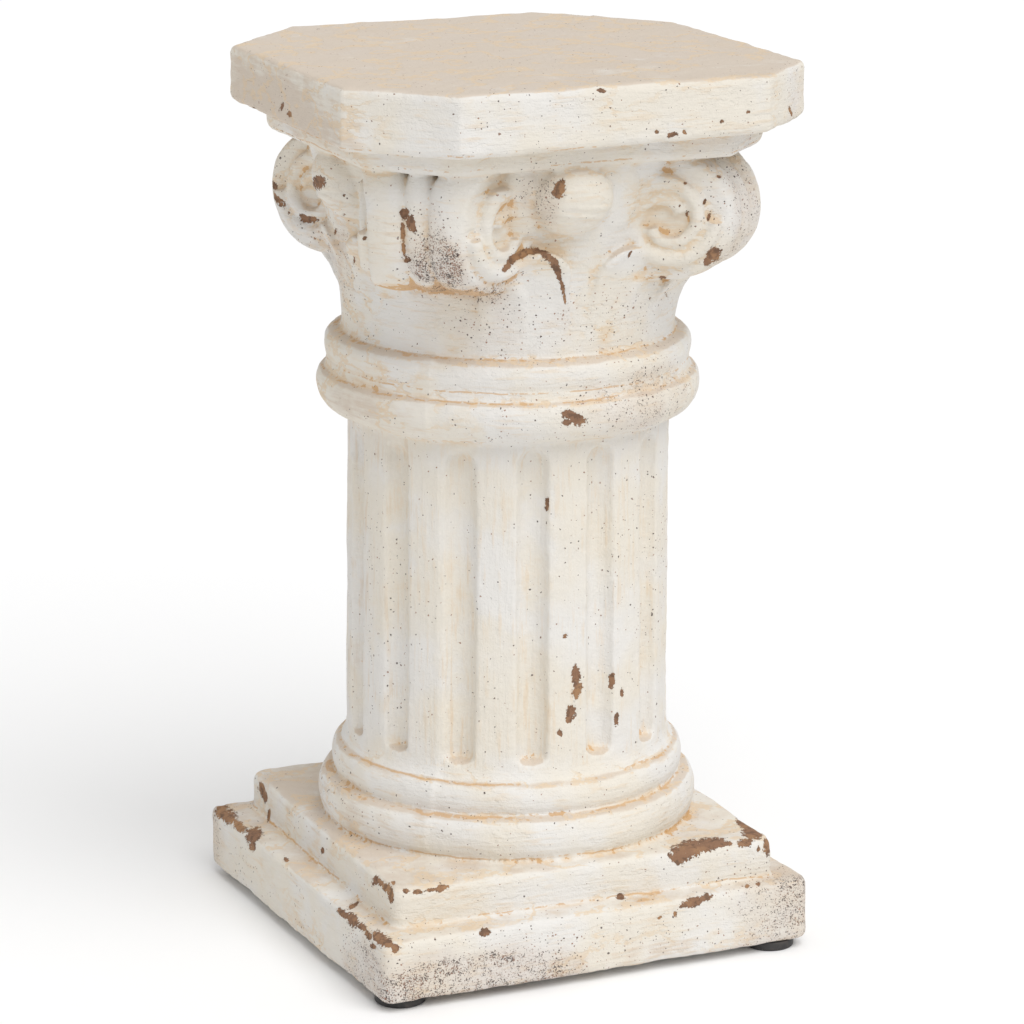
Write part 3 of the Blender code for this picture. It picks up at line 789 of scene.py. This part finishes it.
# Dirt and painted shade
# Dark specks are spattered thinly everywhere and thickly in places. Ochre glaze was wiped into
# the grooves, and a beige wash lies on what faces upwards. Beige laid in zones down the left
# side is painted shade, deepest on the slab's left face, and the ochre along the near scroll's
# lower end is also painted shadow under it. A row gives the middle and the size of a zone in
# millimetres and how strong it is.
SPECKLED = (
    ((-80, -127, 10), (75, 20, 20), 0.95), ((116, -127, 22), (40, 24, 28), 0.88),
    ((-127, -104, 12), (20, 36, 22), 0.90), ((94, -100, 404), (20, 28, 34), 0.85),
    ((-86, -102, 383), (17, 17, 28), 1.00), ((-62, -88, 370), (26, 22, 14), 0.90),
    ((-52, -86, 352), (30, 22, 16), 0.70),
    ((44, -92, 308), (52, 28, 18), 0.80), ((-20, -102, 300), (40, 20, 14), 0.50),
    ((-92, 94, 396), (30, 30, 34), 0.70), ((-34, -112, 416), (12, 14, 24), 0.85),
    ((-96, 20, 366), (14, 30, 22), 0.75), ((122, -104, 462), (18, 24, 20), 0.60),
    ((48, -70, 210), (30, 30, 60), 0.40), ((24, -84, 350), (60, 20, 20), 0.55),
    ((0, -130, 460), (90, 10, 20), 0.30), ((-130, 0, 460), (10, 90, 20), 0.30),
    ((0, -127, 20), (60, 12, 16), 0.45), ((-127, 60, 14), (12, 60, 12), 0.45),
    ((-100, 0, 76), (30, 60, 14), 0.40), ((-85, -20, 180), (20, 30, 60), 0.35),
)
SPECKLE_THIN = 0.16
SPECKLE_CORE = 1.5
SPECKLE_ON_EDGES = 0.10
# These beige zones are painted shade down the left side, deepest on the slab's left face; the one
# low on the front plinth darkens its bottom band.
WASHED_AND_SHADED = (
    ((-132, 10, 452), (10, 80, 22), 1.30), ((-100, 60, 60), (30, 70, 12), 0.30),
    ((-127, -60, 10), (10, 60, 12), 0.30), ((20, -127, 8), (130, 12, 10), 0.30),
    ((-104, -30, 300), (30, 50, 14), 0.50), ((-100, -20, 75), (30, 60, 16), 0.30),
    ((-100, -4, 390), (20, 60, 40), 0.35), ((-88, 10, 190), (20, 40, 70), 0.25),
)
LYING_FROM = 0.55
LYING_FADE = 0.35
PLINTH_TOPS = 0.070
PLINTH_WASH = 0.45
SLAB_WASH = 0.88
HOLLOW_WASH = 0.25
WASH_HOLLOW = 0.0040
# These zones add ochre to the hollows; the three along the near scroll's lower end are also painted
# shadow under it.
STAINED_AND_SHADED = (
    ((-74, -74, 371), (26, 26, 5), 1.00), ((-62, -84, 374), (14, 14, 7), 0.80),
    ((-92, -56, 380), (8, 14, 8), 0.80), ((-46, -104, 414), (6, 10, 9), 0.90),
    ((-34, -98, 386), (9, 12, 6), 0.70), ((45, -96, 372), (14, 10, 4), 0.70),
    ((30, -108, 405), (10, 10, 10), 0.45), ((16, -92, 342), (5, 10, 6), 0.70),
    ((-95, -24, 372), (10, 8, 12), 0.60), ((-120, 84, 396), (16, 16, 30), 0.35),
    ((-98, -40, 318), (14, 40, 8), 0.45),
)
ZONE_FADE = 0.7


def within(centre, size):
    """How much each vertex belongs to a zone: 1 in its middle, fading out at its size."""
    away = ((points - np.array(centre) / 1000) / (np.array(size) / 1000)) ** 2
    return np.exp(-away.sum(axis=1) * ZONE_FADE)


def store(name, values):
    """Keeps a number for each vertex, for the paint to read."""
    attribute = mesh.attributes.new(name, "FLOAT", "POINT")
    attribute.data.foreach_set("value", values.astype(np.float32))


speckle = np.full(count, SPECKLE_THIN)
for turned_round in (1, -1):
    for centre, size, density in SPECKLED:
        zone = within(np.array(centre) * (turned_round, turned_round, 1), size)
        speckle = np.maximum(speckle, density * np.clip(SPECKLE_CORE * zone, 0.0, 1.0))
speckle += edge * SPECKLE_ON_EDGES

lying = np.clip((normals[:, 2] - LYING_FROM) / LYING_FADE, 0.0, 1.0)
lying *= np.where(points[:, 2] < PLINTH_TOPS, PLINTH_WASH, SLAB_WASH)
wash_and_shade = lying + np.clip(broad / WASH_HOLLOW, 0.0, 1.0) * HOLLOW_WASH
# The zones lay painted shade down the left side over the wash.
for centre, size, share in WASHED_AND_SHADED:
    wash_and_shade += share * within(centre, size)
wash_and_shade = np.clip(wash_and_shade, 0.0, 1.0)
# The zones add ochre to the hollows, and painted shadow under the near scroll.
for centre, size, share in STAINED_AND_SHADED:
    hollow += share * within(centre, size)

store("hollow", hollow)
store("chip", chip)
store("speckle", speckle)
store("wash_and_shade", wash_and_shade)


# The paint
# Matt white and cream brushed over brown clay: upright strokes on the shaft, level ones
# elsewhere, ochre and beige glaze over them, the beige also painted shade down the left side
# and the ochre also painted shadow under the near scroll, then dark spatter, and clay where it
# has chipped.
# Glaze lines stand at CREASE_LEVELS. A row of SPATTER gives how many cells there are to the
# metre, the least and most radius as shares of a cell, and how many cells hold a speck.
WHITE = (0.772, 0.750, 0.715)
CREAM = (0.772, 0.722, 0.635)
PALE_OCHRE = (0.740, 0.575, 0.390)
OCHRE = (0.600, 0.350, 0.145)
BEIGE = (0.640, 0.545, 0.450)
SPECK_PALE = (0.560, 0.440, 0.350)
SPECK_BROWN = (0.330, 0.185, 0.125)
SPECK_DARK = (0.075, 0.052, 0.045)
CLAY = (0.270, 0.152, 0.092)
CLAY_LIGHT = (0.385, 0.220, 0.116)
CLAY_DARK = (0.115, 0.072, 0.052)
CREASE_LEVELS = (0.0410, 0.0636, 0.0850, 0.1022, 0.2886, 0.3108, 0.3160, 0.3322,
                 0.4385, 0.4493)
LINE_HALF = 0.0006
LINE_WANDER = 0.0040
SPATTER = ((640.0, 0.15, 0.34, 0.90), (210.0, 0.08, 0.17, 0.30))


class Tone:
    """A socket of a material: sums on it add Math nodes, and node adds any other node."""

    def __init__(self, socket):
        self.socket = socket

    def node(self, kind, settings, sockets, output=0):
        made = self.socket.id_data.nodes.new("ShaderNode" + kind)
        for name, value in settings.items():
            setattr(made, name, value)
        for place, value in sockets.items():
            if isinstance(value, Tone):
                made.id_data.links.new(value.socket, made.inputs[place])
            else:
                made.inputs[place].default_value = value
        return Tone(made.outputs[output])

    def feeds(self, shader, name):
        """Links this tone to a socket of a shader."""
        self.socket.id_data.links.new(self.socket, shader.inputs[name])

    def other(self, output):
        """Another output of the same node."""
        return Tone(self.socket.node.outputs[output])

    def sum(self, operation, first, second):
        return self.node("Math", {"operation": operation}, {0: first, 1: second})

    def __add__(self, other):
        return self.sum("ADD", self, other)

    def __sub__(self, other):
        return self.sum("SUBTRACT", self, other)

    def __rsub__(self, other):
        return self.sum("SUBTRACT", other, self)

    def __mul__(self, other):
        return self.sum("MULTIPLY", self, other)

    def __abs__(self):
        return self.sum("ABSOLUTE", self, 0.0)

    __radd__ = __add__
    __rmul__ = __mul__


def finish(name):
    """A new material's object coordinates and its shader node."""
    material = bpy.data.materials.new(name)
    material.use_nodes = True
    tree = material.node_tree
    place = Tone(tree.nodes.new("ShaderNodeTexCoord").outputs["Object"])
    return material, place, tree.nodes["Principled BSDF"]


def grain(place, scale, detail=2.0, stretch=(1.0, 1.0, 1.0)):
    """Noise from 0 to 1, with so many lumps to the metre, drawn out along its small sides."""
    drawn = place.node("VectorMath", {"operation": "MULTIPLY"}, {0: place, 1: stretch})
    return place.node("TexNoise", {}, {"Vector": drawn, "Scale": scale, "Detail": detail,
                                       "Roughness": 0.6})


def step(value, low, high):
    """Goes smoothly from 0 to 1 as a value goes from low to high."""
    return value.node("MapRange", {"interpolation_type": "SMOOTHSTEP"},
                      {"Value": value, "From Min": low, "From Max": high})


def layer(share, under, over):
    """One colour over another."""
    colours = [value if isinstance(value, Tone) else (*value, 1.0) for value in (under, over)]
    return share.node("Mix", {"data_type": "RGBA"}, {0: share, 6: colours[0], 7: colours[1]}, 2)


def specks(place, scale, least, most, density):
    """Round specks of uneven size, in as large a share of the cells as the density."""
    distance = place.node("TexVoronoi", {}, {"Vector": place, "Scale": scale})
    chance = place.node("SeparateColor", {}, {"Color": distance.other("Color")})
    radius = chance.other(1) * chance.other(1) * (most - least) + least
    there = step(density - chance, -0.01, 0.01)
    return step(radius - distance, -0.03, 0.05) * there, chance.other(2)


def stored(place, name):
    """A number that the mesh keeps for each vertex."""
    return place.node("Attribute", {"attribute_name": name}, {}, "Fac")


paint, place, shader = finish("distressed cream paint")
in_hollow, in_chip, in_speckle, in_wash_and_shade = (stored(place, name) for name in
                                           ("hollow", "chip", "speckle", "wash_and_shade"))
wide_tone = grain(place, 14.0, 3.0)
tone = grain(place, 45.0, 4.0)
fine_tone = grain(place, 260.0, 3.0)
height = place.node("SeparateXYZ", {}, {"Vector": place}, "Z")
on_shaft = step(height, 0.106, 0.112) * step(0.0 - height, -0.288, -0.284)
upright_strokes = grain(place, 420.0, 3.0, (1.0, 1.0, 0.08))
level_strokes = grain(place, 420.0, 3.0, (0.12, 0.12, 1.0))
strokes = level_strokes + (upright_strokes - level_strokes) * on_shaft

patches = grain(place, 28.0, 5.0)
thread = grain(place, 55.0, 5.0, (0.45, 0.45, 1.0))
threads = step(0.030 - abs(thread - 0.5), 0.0, 0.020) * (1.0 - on_shaft * 0.85)

colour = layer(step(wide_tone, 0.38, 0.62), WHITE, CREAM)
colour = layer(step(patches, 0.50, 0.58) * 0.50, colour, CREAM)
colour = layer(step(patches, 0.44, 0.36) * 0.60, colour, WHITE)
colour = layer(step(strokes, 0.50, 0.66) * step(tone, 0.40, 0.60) * 0.32, colour, PALE_OCHRE)
# Beige on upward faces and broad hollows, and as painted shade down the left side.
colour = layer(step(in_wash_and_shade + (tone - 0.5) * 1.2 + (strokes - 0.5), 0.20, 0.80) * 0.85,
               colour, BEIGE)
colour = layer(threads * step(in_wash_and_shade + in_hollow + (patches - 0.5) * 1.5, 0.05, 0.40) * 0.60,
               colour, PALE_OCHRE)
# Ochre in the hollows, which under the near scroll is also painted shadow.
colour = layer(step(in_hollow + (patches - 0.5) * 1.4 + (strokes - 0.5), 0.24, 0.80) * 0.55,
               colour, PALE_OCHRE)
creased = in_hollow + (tone - 0.5) * 1.6 + (fine_tone - 0.5) * 1.6
colour = layer(step(creased, 0.70, 0.84) * 0.75, colour, OCHRE)
line = 0.0
for level in CREASE_LEVELS:
    beside = abs(height + (tone - 0.5) * LINE_WANDER + (strokes - 0.5) * 0.0012 - level)
    line = step(LINE_HALF - beside, 0.0, 0.0004) + line
glazed = step(grain(place, 24.0, 3.0) + (fine_tone - 0.5) * 0.8, 0.46, 0.54)
colour = layer(line * glazed * 0.65, colour, OCHRE)

wobble = place.node("TexNoise", {}, {"Vector": place, "Scale": 900.0, "Detail": 1.0}, 1)
moved = place.node("VectorMath", {"operation": "MULTIPLY_ADD"},
                   {0: wobble, 1: (0.0014, 0.0014, 0.0014), 2: place})
clusters = step(grain(place, 38.0, 3.0), 0.42, 0.62)
dirty = in_speckle * (clusters * 0.3 + in_speckle * 0.7 + 0.28)
mottle = grain(place, 1250.0, 2.0)
colour = layer(step(dirty + (tone - 0.5), 0.30, 1.00) * 0.30, colour, SPECK_PALE)
worn = step(dirty * in_speckle * 0.52 + (mottle - 0.5) * 1.6 + (fine_tone - 0.5) * 0.6,
            0.60, 0.68)
colour = layer(worn * 0.85, colour, layer(step(fine_tone, 0.50, 0.58), SPECK_BROWN, SPECK_DARK))
for scale, least, most, share in SPATTER:
    speck, chance = specks(moved, scale, least, most, dirty * share)
    colour = layer(speck * 0.95, colour, layer(step(chance, 0.40, 0.80), SPECK_DARK, SPECK_BROWN))

ragged = grain(place, 700.0, 3.0)
bare = step(in_chip + (fine_tone - 0.5) * 1.1 + (ragged - 0.5) * 1.5, 0.04, 0.09)
clay = layer(step(tone, 0.46, 0.64), CLAY, CLAY_LIGHT)
clay = layer(step(fine_tone, 0.50, 0.62) * 0.6, clay, CLAY_DARK)
colour = layer(bare, colour, clay)

relief = (strokes * 0.7 + grain(place, 1100.0, 3.0) * 0.35 + fine_tone * 0.6 + patches
          - threads * 0.15 - worn * 0.3 - bare * 0.8)
bump = place.node("Bump", {}, {"Strength": 0.9, "Distance": 0.0010, "Height": relief})
colour.feeds(shader, "Base Color")
(0.72 + tone * 0.12 + bare * 0.12).feeds(shader, "Roughness")
bump.feeds(shader, "Normal")
shader.inputs["Specular IOR Level"].default_value = 0.30
mesh.materials.clear()
mesh.materials.append(paint)


# Courses of the casting
# The one casting is kept as six pieces, parted at or near its creases, so that none has too
# many faces. A row gives a piece's name and the level of its top.
COURSES = (("lower_plinth", 0.0430), ("base", 0.1018), ("shaft", 0.2872), ("rings", 0.3322),
           ("capital", 0.4385), ("top_slab", 1.0))
SMOOTH_UP_TO = 55 * DEGREE


def part_at(piece, level, keep_lower):
    """Cuts a piece off at a level and closes it there."""
    only(piece)
    bpy.ops.object.mode_set(mode="EDIT")
    bpy.ops.mesh.select_all(action="SELECT")
    bpy.ops.mesh.bisect(plane_co=(0.0, 0.0, level), plane_no=(0.0, 0.0, 1.0), use_fill=True,
                        clear_inner=not keep_lower, clear_outer=keep_lower)
    bpy.ops.object.mode_set(mode="OBJECT")


for name, level in COURSES:
    course = body
    if name != COURSES[-1][0]:
        course = duplicate(body)
        part_at(course, level, True)
        part_at(body, level, False)
    course.name = name
    only(course)
    bpy.ops.object.shade_smooth_by_angle(angle=SMOOTH_UP_TO)
    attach(course, "root")
    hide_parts("pedestal_body")


# Rubber feet
# Four round moulded rubber bumpers under the corners of the lower plinth, glued on. Each has a
# rounded rim and a shallow dished sole, and is grey with dust.
RUBBER = (0.030, 0.028, 0.028)
DUST = (0.120, 0.105, 0.095)
FOOT_GAP = 0.0003
SOLE_RIM = 0.28
SOLE_SLOPE = 0.10
SOLE_STEP = 0.25
SOLE_DISH = 0.25
SOLE_ROUNDING = 0.0012
HEAD_ROUNDING = 0.0005

rubber, place, shader = finish("dusty black rubber")
dust = step(grain(place, 160.0, 4.0), 0.48, 0.72)
colour = layer(dust * 0.45, RUBBER, DUST)
bump = place.node("Bump", {}, {"Strength": 0.30, "Distance": 0.0002,
                               "Height": grain(place, 1400.0, 3.0)})
colour.feeds(shader, "Base Color")
(0.52 + dust * 0.30).feeds(shader, "Roughness")
bump.feeds(shader, "Normal")

for node in ("foot_front_left", "foot_front_right", "foot_back_left", "foot_back_right"):
    low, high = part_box(node)
    middle = (low + high) / 2
    radius, tall = (high.x - low.x) / 2, high.z - low.z + FOOT_GAP
    foot = add(bpy.ops.mesh.primitive_cylinder_add, node + "_rubber", vertices=96, radius=radius,
               depth=tall, location=(middle.x, middle.y, low.z + tall / 2))
    select(foot, "FACE", lambda face: face.normal.z < -0.9)
    bpy.ops.mesh.inset(thickness=radius * SOLE_RIM)
    bpy.ops.mesh.inset(thickness=radius * SOLE_SLOPE)
    bpy.ops.transform.translate(value=(0.0, 0.0, tall * SOLE_DISH))
    bpy.ops.mesh.inset(thickness=radius * SOLE_STEP)
    bpy.ops.object.mode_set(mode="OBJECT")
    for rim_level, rounding, steps in ((low.z, SOLE_ROUNDING, 4), (low.z + tall, HEAD_ROUNDING, 2)):
        bevel_edges(foot, lambda place: (place.xy - middle.xy).length > radius - CLOSE_BY
                    and abs(place.z - rim_level) < LEVEL_WITH, rounding, steps)
    foot.data.materials.clear()
    foot.data.materials.append(rubber)
    bpy.ops.object.shade_smooth_by_angle(angle=40 * DEGREE)
    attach(foot, "root")
    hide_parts(node)


# Floor and light
# A plain pale floor under an even white studio and one very broad light, high in front. The
# floor takes the only soft shadow.
SUN_TOWARDS = (0.067, -0.350, 0.500)
SUN_DISTANCE = 4.0
SUN_STRENGTH = 1.77
SUN_BREADTH = math.radians(50)
STUDIO_STRENGTH = 0.60
FLOOR_WHITE = (0.96, 0.96, 0.96, 1.0)
FLOOR_SIZE = 12.0
STUDIO_WHITE = (1.0, 1.0, 1.0, 1.0)

floor = add(bpy.ops.mesh.primitive_plane_add, "floor", size=FLOOR_SIZE)
pale = bpy.data.materials.new("pale floor")
pale.use_nodes = True
surface = pale.node_tree.nodes["Principled BSDF"]
surface.inputs["Base Color"].default_value = FLOOR_WHITE
surface.inputs["Roughness"].default_value = 1.0
surface.inputs["Specular IOR Level"].default_value = 0.0
floor.data.materials.append(pale)
world = bpy.data.worlds.new("studio")
bpy.context.scene.world = world
world.use_nodes = True
studio = world.node_tree.nodes["Background"]
studio.inputs["Color"].default_value = STUDIO_WHITE
studio.inputs["Strength"].default_value = STUDIO_STRENGTH
bpy.ops.object.light_add(type="SUN", location=Vector(SUN_TOWARDS) * SUN_DISTANCE,
                         rotation=Vector(SUN_TOWARDS).to_track_quat("Z", "Y").to_euler())
sun = bpy.context.object
sun.name = "broad_light"
sun.data.energy = SUN_STRENGTH
sun.data.angle = SUN_BREADTH
bpy.context.scene.view_settings.view_transform = "Standard"
